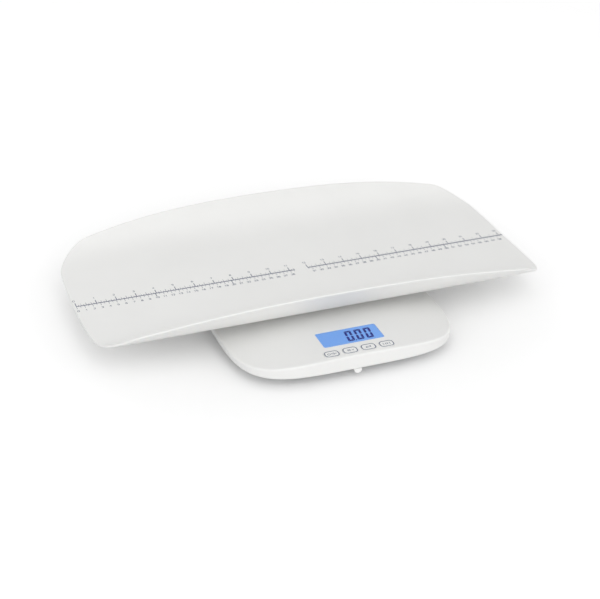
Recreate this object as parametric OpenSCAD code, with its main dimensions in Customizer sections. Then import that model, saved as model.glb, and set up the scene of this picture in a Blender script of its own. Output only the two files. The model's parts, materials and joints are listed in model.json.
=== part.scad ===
// Baby weighing scale: a long open tray on a low crowned base with a display and four keys.
// Millimetres. X runs along the tray, +Y to the back, Z up, and the feet stand on z = 0.

/* [Tray] */
// Length of the tray, over its bowed ends
tray_len = 595; // [500:5:680]
// Depth of the tray, over its bowed long rims
tray_dep = 289; // [250:1:330]
// Radius of the tray's four corners
tray_corner_r = 55; // [35:1:75]
// How far each end of the tray bows out
end_bow = 3.7; // [0:0.1:8]
// How far each long rim bows out
side_bow = 12.2; // [2:0.2:16]
// Height of the long rims over the tray's lowest line
tray_rise = 45.8; // [35:0.2:60]
// Share of the rise that grows with the square of the way to the rim
bowl_square = 0.34; // [0.2:0.01:0.5]
// Share of the rise that the fourth power takes away, so the middle stays flat
bowl_fourth = 0.92; // [0.6:0.01:1.1]
// Thickness of the tray's wall
tray_wall = 2.9; // [2.4:0.1:3.6]
// Gap between the deck's middle and the tray's underside
tray_gap = 3; // [2.4:0.1:5]

/* [Base casing] */
// Width of the base at its lip
base_w = 288; // [270:1:320]
// Depth of the base at its lip
base_d = 300; // [280:1:330]
// How far the base's centre lies in front of the tray's
base_shift = 53.5; // [45:0.5:60]
// Squareness of the base's outline: 2 is an ellipse
base_power = 4.4; // [3.6:0.1:6]
// Height of the middle of the deck
deck_z = 31.5; // [30.5:0.5:36]
// Drop of the deck from its middle to its sides
crown = 11; // [6:0.5:12]
// How late the deck starts to drop
crown_power = 2.3; // [2:0.1:3]
// Radius of the deck's rounded edge
edge_r = 2.5; // [2:0.5:6]
// Height of the upper casing's lower lip
lip_z = 12.7; // [12.4:0.1:13.4]
// Wall of the upper casing
cover_wall = 2.5; // [2:0.1:2.8]
// How far the lower casing stands back from the lip
pan_inset = 16; // [12:0.5:18]
// Height of the lower casing's underside
pan_z = 7; // [6:0.1:7.2]
// Wall and floor of the lower casing
pan_wall = 2.5; // [2:0.1:2.6]
// Running gap between the two casings
casing_gap = 0.3; // [0.2:0.05:0.5]

/* [Tray seats] */
// Distance of the seats from the tray's middle, along X
seat_x = 80; // [72:1:86]
// Distance of the seats from the tray's middle, along Y
seat_y = 55; // [48:1:58]
// Radius of each raised seat on the deck
seat_r = 17; // [16:0.5:20]
// Radius of each leg under the tray
leg_r = 13; // [10:0.5:15]
// Thickness of the rubber pad under each leg
pad_t = 2; // [1:0.25:2.5]
// Radius of the locating pin on each leg
pin_r = 3.5; // [2.5:0.25:4]
// Length of the locating pin below its leg
pin_len = 7; // [5:0.5:7.5]
// Play between pin and seat hole
pin_play = 0.6; // [0.4:0.1:1]

/* [Display] */
// Width of the display window
lens_w = 78; // [70:1:84]
// Depth of the display window
lens_d = 32.3; // [28:0.1:34]
// Thickness of the display window
lens_t = 1.4; // [1.1:0.1:1.4]
// Distance from the base's front to the middle of the window
lens_back = 44.3; // [44:0.1:46]
// Thickness of the display glass
glass_t = 2.2; // [1.8:0.1:2.4]
// Thickness of the backlight's light guide
backlight_t = 2.6; // [2:0.1:2.8]
// Wall and floor of the display holder
holder_wall = 1.2; // [1:0.1:1.6]

/* [Keys] */
// Number of keys
key_count = 4; // [3:1:4]
// Distance between the middles of neighbouring keys
key_pitch = 23.5; // [22:0.5:24.5]
// Width of a key
key_w = 18.5; // [15:0.5:19]
// Depth of a key, front to back
key_d = 12.6; // [10:0.2:13]
// Corner radius of a key
key_r = 4.8; // [3:0.1:6]
// Distance from the base's front to the middle of the keys
key_back = 12.7; // [12:0.1:13.5]
// Gap round a key in its hole
key_gap = 0.25; // [0.2:0.05:0.4]
// Travel of a key
key_travel = 0.5; // [0.3:0.05:0.55]

/* [Circuit board] */
// Width of the circuit board
board_w = 112; // [108:1:124]
// Depth of the circuit board
board_d = 58; // [57:1:60]
// Thickness of the circuit board
board_t = 1.6; // [1:0.1:1.8]
// Radius of the small self-tapping screws
screw_r = 1.45; // [1.2:0.05:1.5]
// Radius of the screws' heads
screw_head_r = 2.9; // [2.6:0.1:3]

/* [Feet and load cells] */
// Distance of the feet in from the base's sides
foot_side = 55; // [54:1:60]
// Distance of the feet in from the base's front and back
foot_end = 57; // [56:1:62]
// Radius of a foot
foot_r = 20; // [16:0.5:22]
// Thickness of the rubber sole
sole_t = 2.2; // [1.5:0.1:2.4]
// Thickness of the foot's plate
foot_plate_t = 3; // [2:0.1:3]
// Radius of the stem that bears on the load cell
stem_r = 7; // [5:0.5:7]
// Height of the ring that carries a load cell
cell_ring_h = 1.5; // [1:0.1:2]
// Length of a load cell
cell_l = 38; // [36:0.5:42]
// Depth of a load cell
cell_d = 32; // [28:0.5:36]
// Thickness of a load cell
cell_t = 2; // [1.5:0.1:2.5]

/* [Batteries] */
// Number of battery cells side by side
cell_count = 4; // [3:1:4]
// Diameter of one battery
battery_dia = 14.2; // [13.8:0.1:14.4]
// Length of one battery, without its end cap
battery_len = 49.2; // [48:0.1:50]
// Distance between neighbouring batteries
battery_pitch = 15; // [14.8:0.1:15.4]
// Wall of the battery well
well_wall = 1.6; // [1.2:0.1:2]
// Distance from the well's middle forward of the base's back
well_back = 51.5; // [51:0.5:56]
// Running gap of the battery door
door_gap = 0.3; // [0.2:0.05:0.4]

/* [Tray lock] */
// Sideways travel of the lock slider, from open to locked
lock_travel = 13; // [12.4:0.2:14]
// Width of the finger nub
nub_w = 9.6; // [7:0.2:11]
// How far the nub stands out from the front wall
nub_out = 1.5; // [1:0.25:4]
// Height of the nub
nub_h = 5.2; // [4:0.2:5.4]
// Thickness of the slider's bar
bar_t = 2.4; // [2:0.1:2.5]
// Width of the slider's bar
bar_w = 12; // [9:0.5:13]
// Distance of the hook in front of the tray's middle
hook_y = 70; // [68:1:76]
// Clearance between the slider's tongue and the tray's hook
lock_gap = 0.5; // [0.3:0.05:0.8]

/* [Hidden] */
$fn = 64;
eps = 0.01;
CORNERS = ["front_left", "front_right", "back_left", "back_right"];

// where the tray and the base stand: the part's box is centred on x = 0, y = 0
tray_y = (base_d / 2 + base_shift + nub_out - tray_dep / 2) / 2;
base_y = tray_y - base_shift;
front_y = base_y - base_d / 2;
back_y = base_y + base_d / 2;
tray_z = deck_z + tray_gap + tray_wall;   // the tray's lowest inner line

// levels in the base, from the floor up
foot_top = sole_t + foot_plate_t;
floor_z = pan_z + pan_wall;
cell_z = floor_z + cell_ring_h;
slide_z = floor_z + 0.3;
flange_z = lip_z;
flange_t = pan_wall;

// levels under the deck, from the deck down
lens_x = 1;
lens_z = crown_z(lens_x + lens_w / 2) - lens_t;
lens_y = front_y + lens_back;
holder_w = lens_w + 10;
holder_d = lens_d + 9;
glass_w = holder_w - 2 * holder_wall - 0.4;
glass_d = holder_d - 2 * holder_wall - 0.4;
glass_top = crown_z(lens_x + holder_w / 2) - cover_wall - 0.2;
glass_z = glass_top - glass_t;
backlight_z = glass_z - backlight_t;
holder_z = backlight_z - holder_wall;
board_z = holder_z - board_t;
board_y = front_y + 6 + board_d / 2;
board_post_x = board_w / 2 - 5;
board_post_y = board_d / 2 - 17;
key_y = front_y + key_back;
switch_h = 3.5;
plunger_h = 0.5;
plunger_top = holder_z + switch_h + plunger_h;
pilot_r = screw_r + 0.03;
hole_r = screw_r + 0.25;

// heads and grip of the small screws
small_head_h = 1.6;
small_bite = 4;

// tray seats
seat_z = deck_z - 0.5;
leg_z = seat_z + pad_t;
SEATS = [for (sx = [-1, 1], sy = [-1, 1]) [sx * seat_x, tray_y + sy * seat_y]];
// feet: front left, front right, back left, back right
foot_x = base_w / 2 - foot_side;
foot_y = base_d / 2 - foot_end;
FEET = [for (sy = [-1, 1], sx = [-1, 1]) [sx * foot_x, base_y + sy * foot_y]];
// casing screws: two in front of the feet, two at the sides, two behind the feet
front_screw_in = 20;
side_screw_in = 30;
back_screw_in = 32;
screw_past_foot = 22;
SCREWS = [for (s = [-1, 1]) each [
    [s * (foot_x - front_screw_in), base_y - foot_y - screw_past_foot],
    [s * (base_w / 2 - side_screw_in), base_y],
    [s * (foot_x - back_screw_in), base_y + foot_y + screw_past_foot]]];
screw_seat_h = 3;

// battery well
well_l = battery_len + 8;
well_d = cell_count * battery_pitch + 1;
well_y = back_y - well_back;
well_floor = floor_z;
battery_z = floor_z + 0.4 + battery_dia / 2;
well_h = battery_dia + 0.9;
door_w = well_l + 2.4;
door_y0 = well_y - well_d / 2 - 2;
door_y1 = back_y - pan_inset;
tongue = 2;

// tray lock
nub_x = -lock_travel / 2;
nub_top = lip_z - 0.15;
hook_cy = tray_y - hook_y;
hook_half = 4;                            // half the hook's depth along Y
hook_foot = [2, 10, 14];                  // foot's tip, post's left and post's right face
hook_z = 17.5;
hook_foot_t = 2.5;
tongue_z = hook_z + hook_foot_t + lock_gap;
tongue_t = 2.5;
riser_w = 4;
hook_plate_t = 2;
hook_plate_z = deck_z + 0.5;
hook_screw_x = [-5, 25];
hook_screw_z = tray_z + bowl(hook_y - 4) - tray_wall - 0.4;   // tip, just under the tray's wall
rail_y = front_y + 72;
rail_half = 20;
rail_w = 8;
rib_x = 24;                               // middle and half length of the ribs along the rail
rib_half = 10.5;
keeper_x = 40;                            // the keeper's screws
keeper_t = 1.6;
rib_h = bar_t + 0.9;

// ---- curves ----

// height of the tray's inside over its lowest line, at y from the tray's middle
function bowl(y) = let (q = abs(y) / (tray_dep / 2))
    tray_rise * (bowl_square * q^2 - bowl_fourth * q^4 + (1 - bowl_square + bowl_fourth) * q^6);
function bowl_slope(y) = (bowl(y + 0.05) - bowl(y - 0.05)) / 0.1;
// point of the tray's outside, square to its inside at y
function bowl_out(y) = let (s = bowl_slope(y), l = sqrt(1 + s * s))
    [y + tray_wall * s / l, bowl(y) - tray_wall / l];

// core of the tray's outline: its corner centres and bowed edges, before the corner radius
core_a = tray_len / 2 - tray_corner_r;
core_b = tray_dep / 2 - tray_corner_r;
function end_x(y) = core_a - end_bow * pow(y / core_b, 2);
function side_y(x) = core_b - side_bow * (0.45 * pow(x / core_a, 2) + 0.55 * pow(x / core_a, 4));
function corner_y(k, y) = k == 0 ? y : corner_y(k - 1, side_y(end_x(y)));
function unit(v) = v / norm(v);
function end_normal(y) = unit([1, 2 * end_bow * y / pow(core_b, 2)]);
function side_normal(x) = unit([side_bow * (0.9 * x / pow(core_a, 2)
    + 2.2 * pow(x, 3) / pow(core_a, 4)), 1]);
function tray_quarter(r) = let (
    yc = corner_y(10, core_b), xc = end_x(yc),
    n1 = end_normal(yc), n2 = side_normal(xc),
    a1 = atan2(n1.y, n1.x), a2 = atan2(n2.y, n2.x))
    concat(
        [for (i = [0:5]) let (y = yc * i / 6) [end_x(y), y] + r * end_normal(y)],
        [for (i = [0:12]) let (a = a1 + (a2 - a1) * i / 12) [xc + r * cos(a), yc + r * sin(a)]],
        [for (i = [1:12]) let (x = xc * (1 - i / 12)) [x, side_y(x)] + r * side_normal(x)]);
function mirrored(p) = concat(p, [for (i = [len(p) - 2:-1:0]) [-p[i].x, p[i].y]]);
function tray_outline(inset = 0) = let (h = mirrored(tray_quarter(tray_corner_r - inset)))
    concat(h, [for (i = [len(h) - 2:-1:1]) [h[i].x, -h[i].y]]);

// the base's outline: a superellipse, drawn in by the inset
function signed_pow(v, p) = sign(v) * pow(abs(v), p);
function base_outline(inset) = [for (i = [0:95]) let (a = i * 360 / 96) [
    (base_w / 2 - inset) * signed_pow(cos(a), 2 / base_power),
    (base_d / 2 - inset) * signed_pow(sin(a), 2 / base_power)]];

// height of the deck at x
function crown_z(x) = deck_z - crown * pow(abs(x) / (base_w / 2), crown_power);
// half of the crowned section, from the middle to the side, with its rounded edge
function crown_half(inset) = let (a = base_w / 2 - inset, r = max(edge_r - inset, 0.6))
    concat(
        [for (i = [0:20]) let (x = (a - r) * i / 20) [x, crown_z(x) - inset]],
        [for (t = [15:15:90]) let (x = a - r + r * sin(t)) [x, crown_z(x) - inset - r * (1 - cos(t))]],
        [[a, 0]]);
// half of the section from front to back: flat, with its rounded edge
function deck_half(inset) = let (b = base_d / 2 - inset, r = max(edge_r - inset, 0.6))
    concat([[0, deck_z - inset]],
        [for (t = [0:15:90]) [b - r + r * sin(t), deck_z - inset - r * (1 - cos(t))]],
        [[b, 0]]);
function both_halves(p) = concat([for (i = [len(p) - 1:-1:1]) [-p[i].x, p[i].y]], p);

// ---- shared shapes ----

// the base's outline as a plate or prism from z0 to z1
module base_prism(inset, z0, z1)
    translate([0, base_y, z0]) linear_extrude(z1 - z0) polygon(base_outline(inset));

// the crowned body of the base above z0, drawn in by the inset on every side
module cover_body(inset, z0)
    intersection() {
        base_prism(inset, z0, deck_z + 1);
        translate([0, base_y + base_d, 0]) rotate([90, 0, 0])
            linear_extrude(2 * base_d) polygon(both_halves(crown_half(inset)));
        translate([-base_w, base_y, 0]) rotate([90, 0, 90])
            linear_extrude(2 * base_w) polygon(both_halves(deck_half(inset)));
    }

module box(x0, x1, y0, y1, z0, z1) translate([x0, y0, z0]) cube([x1 - x0, y1 - y0, z1 - z0]);

module centred_box(c, w, d, z0, z1)
    box(c.x - w / 2, c.x + w / 2, c.y - d / 2, c.y + d / 2, z0, z1);

module post(c, r, z0, z1) translate([c.x, c.y, z0]) cylinder(r = r, h = z1 - z0);

// a plate with round corners
module round_plate(c, w, d, r, z0, z1) {
    for (sx = [-1, 1], sy = [-1, 1]) post([c.x + sx * (w / 2 - r), c.y + sy * (d / 2 - r)], r, z0, z1);
    centred_box(c, w - 2 * r, d, z0, z1);
    centred_box(c, w, d - 2 * r, z0, z1);
}

// a pan-head screw pointing up, its head from z0
module screw_up(c, z0, head_h, z1) {
    post(c, screw_head_r, z0, z0 + head_h);
    post(c, screw_r, z0 + head_h - eps, z1);
}

// a pan-head screw pointing down, its head's underside on z1
module screw_down(c, z0, z1, head_h) {
    post(c, screw_head_r, z1, z1 + head_h);
    post(c, screw_r, z0, z1 + eps);
}

// a wire along straight stretches, with a short upright bead at each bend
function bead(r) = 1.4 * r;
module wire(r, pts)
    for (i = [0:len(pts) - 2]) {
        v = pts[i + 1] - pts[i];
        translate(pts[i]) rotate([0, acos(v.z / norm(v)), atan2(v.y, v.x)])
            cylinder(r = r, h = norm(v), $fn = 24);
        if (i > 0) post(pts[i], bead(r), pts[i].z - bead(r), pts[i].z + bead(r));
    }

// ---- tray ----

module tray_band() {
    reach = tray_dep / 2 + 3;
    n = 40;
    inside = [for (i = [-n:n]) let (y = reach * i / n) [y, bowl(y)]];
    outside = [for (i = [n:-1:-n]) bowl_out(reach * i / n)];
    translate([-tray_len, tray_y, tray_z]) rotate([90, 0, 90])
        linear_extrude(2 * tray_len) polygon(concat(inside, outside));
}

module tray_shell() color("white") {
    intersection() {
        tray_band();
        translate([0, tray_y, tray_z - tray_wall - 1])
            linear_extrude(tray_rise + tray_wall + 2) polygon(tray_outline());
    }
    // four legs with locating pins
    for (s = SEATS) {
        post(s, leg_r, leg_z, tray_z + bowl(seat_y - leg_r) - 0.6);
        post(s, pin_r, leg_z - pin_len, leg_z + eps);
    }
    // two bosses for the hook's screws
    difference() {
        for (x = hook_screw_x)
            post([x, hook_cy], 4, hook_plate_z + hook_plate_t, tray_z + bowl(hook_y - 4) - 0.6);
        for (x = hook_screw_x)
            post([x, hook_cy], pilot_r, hook_plate_z, hook_screw_z + 0.3);
    }
}

module tray_pads() color("dimgray")
    for (s = SEATS) difference() {
        post(s, leg_r + 2, seat_z, leg_z);
        post(s, pin_r + 0.2, seat_z - 1, leg_z + 1);
    }

module lock_hook() color("whitesmoke") difference() {
    union() {
        box(hook_screw_x[0] - 5, hook_screw_x[1] + 5, hook_cy - hook_half - 4, hook_cy + hook_half + 4,
            hook_plate_z, hook_plate_z + hook_plate_t);
        box(hook_foot[1], hook_foot[2], hook_cy - hook_half, hook_cy + hook_half,
            hook_z, hook_plate_z + eps);
        box(hook_foot[0], hook_foot[2], hook_cy - hook_half, hook_cy + hook_half,
            hook_z, hook_z + hook_foot_t);
    }
    for (x = hook_screw_x) {
        post([x, hook_cy], hole_r, hook_plate_z - 1, hook_plate_z + hook_plate_t + 1);
        post([x, hook_cy], screw_head_r + 0.2, hook_plate_z - 1, hook_plate_z + 1.2);
    }
}

module hook_screws() color("silver")
    for (x = hook_screw_x)
        screw_up([x, hook_cy], hook_plate_z + 0.1, 1.1, hook_screw_z);

// ---- casings ----

module top_cover() color("white") difference() {
    union() {
        difference() {
            cover_body(0, lip_z);
            cover_body(cover_wall, lip_z - 1);
        }
        for (s = SEATS) post(s, seat_r, leg_z - pin_len - 2, seat_z);
        for (c = SCREWS) post(c, 4, floor_z + screw_seat_h + 0.2, crown_z(c.x) - cover_wall / 2);
        for (sx = [-1, 1], sy = [-1, 1]) {
            c = [sx * board_post_x, board_y + sy * board_post_y];
            post(c, 3.2, holder_z, crown_z(c.x) - cover_wall / 2);
        }
    }
    for (s = SEATS) post(s, pin_r + pin_play, lip_z, deck_z + 1);
    for (c = SCREWS) post(c, pilot_r, lip_z - 1, floor_z + screw_seat_h + 8.5);
    for (sx = [-1, 1], sy = [-1, 1])
        post([sx * board_post_x, board_y + sy * board_post_y], pilot_r, holder_z - 1, holder_z + 4.5);
    // window: a ledge carries it
    centred_box([lens_x, lens_y], lens_w + 0.3, lens_d + 0.3, lens_z, deck_z + 1);
    centred_box([lens_x, lens_y], lens_w - 3, lens_d - 3, lip_z, deck_z + 1);
    for (i = [0:key_count - 1])
        round_plate(key_centre(i), key_w + 2 * key_gap, key_d + 2 * key_gap, key_r + key_gap,
            board_z, deck_z + 1);
    // slot for the tray's hook
    box(hook_foot[0] - 1, hook_foot[2] + 1, hook_cy - hook_half - 1, hook_cy + hook_half + 1,
        lip_z, deck_z + 1);
}

module bottom_cover() color("gainsboro") difference() {
    union() {
        difference() {
            union() {
                base_prism(cover_wall + casing_gap, flange_z, flange_z + flange_t);
                base_prism(pan_inset, pan_z, flange_z + flange_t);
            }
            base_prism(pan_inset + pan_wall, floor_z, flange_z + flange_t + 1);
        }
        for (f = FEET) post(f, foot_r, floor_z - eps, cell_z);
        for (c = SCREWS) post(c, 5, floor_z - eps, floor_z + screw_seat_h);
        // ribs and end posts that guide the lock slider's rail
        for (sx = [-1, 1]) {
            for (sy = [-1, 1])
                box(sx * rib_x - rib_half, sx * rib_x + rib_half,
                    rail_y + sy * (rail_w / 2 + 2.2) - 1.2, rail_y + sy * (rail_w / 2 + 2.2) + 1.2,
                    floor_z - eps, slide_z + rib_h);
            post([sx * keeper_x, rail_y], 4, floor_z - eps, slide_z + rib_h);
        }
        // four bosses that the battery well is screwed to
        for (c = well_screws()) post(c, 4, floor_z - eps, floor_z + 2);
        // stiffening ribs
        for (sx = [-1, 1])
            box(sx * 44 - 1, sx * 44 + 1, rail_y + 16, well_y - well_d / 2 - 6, floor_z - eps, floor_z + 3);
    }
    for (f = FEET) {
        post(f, stem_r + 5, pan_z - 1, cell_z + 1);
        for (s = [-1, 1]) post([f.x + s * (cell_l / 2 - 3.5), f.y], pilot_r, floor_z + 0.2, cell_z + 1);
    }
    for (c = SCREWS) {
        post(c, screw_head_r + 0.3, pan_z - 1, floor_z - 0.3);
        post(c, hole_r, pan_z - 1, floor_z + screw_seat_h + 1);
    }
    for (sx = [-1, 1]) post([sx * keeper_x, rail_y], pilot_r, floor_z + 0.5, slide_z + rib_h + 1);
    for (c = well_screws()) post(c, pilot_r, pan_z + 1, floor_z + 3);
    // battery opening, with a groove on each side for the door's tongues
    box(-door_w / 2, door_w / 2, door_y0, back_y, pan_z - 1, floor_z + eps);
    box(-door_w / 2 - tongue, door_w / 2 + tongue, door_y0, back_y, pan_z + 1, floor_z + eps);
    // slot in the front wall for the slider's neck
    box(nub_x - nub_w / 2, -nub_x + nub_w / 2, front_y, front_y + pan_inset + pan_wall + 2,
        floor_z, flange_z);
}

module casing_screws() color("silver")
    for (c = SCREWS) screw_up(c, pan_z + 0.4, 1.7, floor_z + screw_seat_h + 7.5);

// ---- display ----

module display_window() color("lightskyblue", 0.5)
    centred_box([lens_x, lens_y], lens_w, lens_d, lens_z, lens_z + lens_t);

module display_glass() color("slategray")
    centred_box([lens_x, lens_y], glass_w, glass_d, glass_z, glass_top);

module display_backlight() color("cornflowerblue")
    centred_box([lens_x, lens_y], glass_w - 2, glass_d - 10, backlight_z, glass_z);

module display_holder() color("white") difference() {
    centred_box([lens_x, lens_y], holder_w, holder_d, holder_z, glass_top);
    centred_box([lens_x, lens_y], glass_w + 0.3, glass_d + 0.3, backlight_z, glass_top + 1);
    for (s = [-1, 1])
        centred_box([lens_x, lens_y + s * (glass_d / 2 - 2.5)], glass_w - 2, 2.6, holder_z - 1, glass_z);
}

module contact_strips() color("dimgray")
    for (s = [-1, 1])
        centred_box([lens_x, lens_y + s * (glass_d / 2 - 2.5)], glass_w - 4, 2, holder_z, glass_z);

// ---- circuit board ----

module main_board() color("seagreen") difference() {
    centred_box([0, board_y], board_w, board_d, board_z, holder_z);
    for (sx = [-1, 1], sy = [-1, 1])
        post([sx * board_post_x, board_y + sy * board_post_y], hole_r, board_z - 1, holder_z + 1);
}

module board_chips() color("black") {
    centred_box([-22, board_y + 4], 12, 12, board_z - 1.8, board_z);
    centred_box([4, board_y + 6], 8, 6, board_z - 1.6, board_z);
    centred_box([24, board_y + 2], 9, 4, board_z - 2.6, board_z);
}

// sockets on the board's underside: four for the load cells, one for the batteries
socket_x = [-46, 46, -34, 34, 16];
socket_y = board_y + board_d / 2 - 5;
module board_sockets() color("ivory")
    for (x = socket_x) centred_box([x, socket_y], 7, 5, board_z - 3, board_z);

module key_switches() color("darkgray")
    for (i = [0:key_count - 1]) {
        centred_box(key_centre(i), 6, 6, holder_z, holder_z + switch_h);
        post(key_centre(i), 1.7, holder_z + switch_h - eps, plunger_top);
    }

module board_screws() color("silver")
    for (sx = [-1, 1], sy = [-1, 1])
        screw_up([sx * board_post_x, board_y + sy * board_post_y], board_z - small_head_h, small_head_h, holder_z + small_bite);

// ---- keys ----

function key_centre(i) = [(i - (key_count - 1) / 2) * key_pitch, key_y];

module key(i) color("white") {
    c = key_centre(i);
    flange_top = crown_z(abs(c.x) + key_w / 2 + 1) - cover_wall - 0.2;
    round_plate(c, key_w, key_d, key_r, flange_top - eps, crown_z(c.x) + 0.3);
    round_plate(c, key_w + 2, key_d + 1.4, key_r + 0.7, flange_top - 1, flange_top);
    post(c, 2.5, plunger_top + key_travel + 0.1, flange_top - 1 + eps);
}

// ---- feet and load cells ----

module load_cell(i) color("lightsteelblue") {
    c = FEET[i];
    difference() {
        centred_box(c, cell_l, cell_d, cell_z, cell_z + cell_t);
        for (s = [-1, 1]) {
            post([c.x + s * (cell_l / 2 - 3.5), c.y], hole_r, cell_z - 1, cell_z + cell_t + 1);
            centred_box([c.x + s * (stem_r + 1.6), c.y], 1.6, cell_d * 0.6, cell_z - 1, cell_z + cell_t + 1);
        }
        centred_box([c.x, c.y + cell_d * 0.3], 2 * stem_r + 3.2, 1.6, cell_z - 1, cell_z + cell_t + 1);
    }
}

module foot(i) color("white") {
    post(FEET[i], foot_r, sole_t, foot_top);
    post(FEET[i], stem_r, foot_top - eps, cell_z);
}

module sole(i) color("dimgray") post(FEET[i], foot_r, 0, sole_t);

module load_cell_screws() color("silver")
    for (f = FEET, s = [-1, 1])
        screw_down([f.x + s * (cell_l / 2 - 3.5), f.y], floor_z + 0.4, cell_z + cell_t, small_head_h);

// leads from the load cells' inner ends to the board's sockets
lead_r = 0.9;
lead_in = 8;              // start, in from the load cell's end
lead_side = 62;           // the back leads run forward at this x
lead_ahead = 24;          // and turn in at this distance behind the sockets
lead_turn = 20;           // forward run of the first bend
socket_drop = 1.6;        // the leads enter the sockets this far under the board
module cell_leads() color("firebrick")
    for (i = [0:3]) {
        s = FEET[i].x < 0 ? -1 : 1;
        start = [FEET[i].x - s * (cell_l / 2 - lead_in), FEET[i].y + (i < 2 ? 1 : -1) * (cell_d / 2 - 3),
                 cell_z + cell_t];
        goal = [socket_x[i], socket_y + 2.5 + lead_r, board_z - socket_drop];
        top = goal.z - 1.2;
        wire(lead_r, i < 2
            ? [start, [start.x, start.y, top], [goal.x + s * 6, goal.y + 4, top], goal]
            : [start, [start.x, start.y, top], [s * lead_side, start.y - lead_turn, top],
               [s * lead_side, goal.y + lead_ahead, top],
               [goal.x, goal.y + 8, top], goal]);
    }

// ---- batteries ----

function battery_y(i) = well_y + (i - (cell_count - 1) / 2) * battery_pitch;
function well_screws() = [for (sx = [-1, 1], sy = [-1, 1])
    [sx * (door_w / 2 + tongue + 5.5), well_y + sy * (well_d / 2 - 8)]];

module battery_well() color("gainsboro") difference() {
    union() {
        centred_box([0, well_y], well_l + 2 * well_wall, well_d + 2 * well_wall,
            floor_z, floor_z + well_h + well_wall);
        for (c = well_screws())
            box(min(0, sign(c.x) * (abs(c.x) + 3.5)), max(0, sign(c.x) * (abs(c.x) + 3.5)),
                c.y - 4, c.y + 4, floor_z + 2, floor_z + 3.6);
    }
    centred_box([0, well_y], well_l, well_d, floor_z - 1, floor_z + well_h);
    for (c = well_screws()) post(c, hole_r, floor_z + 1, floor_z + 5);
}

module battery_well_screws() color("silver")
    for (c = well_screws()) screw_down(c, pan_z + 1.4, floor_z + 3.6, 1.6);

// neighbouring batteries lie head to tail
module battery(i) color("goldenrod") {
    turn = i % 2 == 0 ? 1 : -1;
    translate([-turn * (battery_len / 2 + 0.6), battery_y(i), battery_z]) rotate([0, turn * 90, 0]) {
        cylinder(d = battery_dia, h = battery_len);
        translate([0, 0, battery_len - eps]) cylinder(d = 5.4, h = 1.2);
    }
}

// a plate at each battery's end: flat at its cap, with a cone spring at its foot
module battery_contacts() color("silver")
    for (i = [0:cell_count - 1], s = [-1, 1]) {
        turn = i % 2 == 0 ? 1 : -1;
        translate([s * well_l / 2, battery_y(i), battery_z]) rotate([0, -s * 90, 0]) {
            translate([-5.5, -5.5, 0]) cube([11, 11, 0.5]);
            if (s != turn)
                translate([0, 0, 0.49])
                    cylinder(r1 = 4.2, r2 = 2.4, h = well_l / 2 - battery_len / 2 - 0.6 - 0.59);
            else
                translate([0, 0, 0.49])
                    cylinder(r = 2, h = well_l / 2 - battery_len / 2 - 0.6 - 0.59);
        }
    }

// two leads from the well's front end to the board
pair_x = 24;              // middle of the pair
pair_half = 1.4;
pair_rise = 8.5;          // height of their level run over the casing's floor
pair_bend = 30;           // distance of the bend behind the sockets
module battery_leads() color("black") {
    front = well_y - well_d / 2 - well_wall - bead(lead_r) - 0.2;
    for (s = [-1, 1])
        wire(lead_r, [[pair_x + s * pair_half, front, floor_z + well_h],
            [pair_x + s * pair_half, front, floor_z + pair_rise],
            [pair_x + s * pair_half, socket_y + pair_bend, floor_z + pair_rise],
            [socket_x[4] + s * pair_half, socket_y + 2.5 + lead_r, board_z - socket_drop]]);
}

module battery_door() color("gainsboro") difference() {
    union() {
        box(-door_w / 2 + door_gap, door_w / 2 - door_gap, door_y0 + door_gap, door_y1 - 1,
            pan_z, floor_z - 0.2);
        box(-door_w / 2 - tongue + door_gap, door_w / 2 + tongue - door_gap,
            door_y0 + door_gap, door_y1 - 4, pan_z + 1.2, floor_z - 0.2);
    }
    // grip grooves
    for (i = [0:4]) box(-9, 9, door_y1 - 10 - i * 3, door_y1 - 8.6 - i * 3, pan_z - 1, pan_z + 0.6);
}

// ---- tray lock ----

module lock_slider() color("white") {
    z0 = slide_z;
    z1 = slide_z + bar_t;
    neck_end = front_y + pan_inset + pan_wall + 4;
    // finger nub with a round lower end, its top just under the lip
    intersection() {
        translate([nub_x, front_y - nub_out, nub_top - nub_h + nub_w / 2]) rotate([-90, 0, 0])
            cylinder(d = nub_w, h = nub_out + cover_wall);
        box(nub_x - nub_w, nub_x + nub_w, front_y - nub_out - 1, front_y + cover_wall + 1, 0, nub_top);
    }
    // neck under the lip, then the bar
    box(nub_x - nub_w / 2 + 1.2, nub_x + nub_w / 2 - 1.2, front_y + 1, neck_end, z0, z1);
    box(nub_x - bar_w / 2, nub_x + bar_w / 2, neck_end - eps, hook_cy + hook_half, z0, z1);
    // rail that runs between the ribs
    box(nub_x - rail_half, nub_x + rail_half, rail_y - rail_w / 2, rail_y + rail_w / 2, z0, z1);
    // riser and tongue at the back end
    left = hook_foot[0] - lock_travel - riser_w - lock_gap - 0.5;
    box(left, nub_x, hook_cy - hook_half, hook_cy + hook_half, z0, z1);
    box(left, left + riser_w, hook_cy - hook_half, hook_cy + hook_half, z0, tongue_z + tongue_t);
    box(left, hook_foot[1] - lock_travel - lock_gap, hook_cy - hook_half, hook_cy + hook_half,
        tongue_z, tongue_z + tongue_t);
}

module slider_keeper() color("gainsboro") difference() {
    box(-keeper_x - 5, keeper_x + 5, rail_y - rail_w, rail_y + rail_w,
        slide_z + rib_h, slide_z + rib_h + keeper_t);
    for (sx = [-1, 1]) post([sx * keeper_x, rail_y], hole_r, slide_z, slide_z + rib_h + 3);
}

module keeper_screws() color("silver")
    for (sx = [-1, 1])
        screw_down([sx * keeper_x, rail_y], floor_z + 0.8, slide_z + rib_h + keeper_t, small_head_h);

// ---- assembly ----

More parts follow.
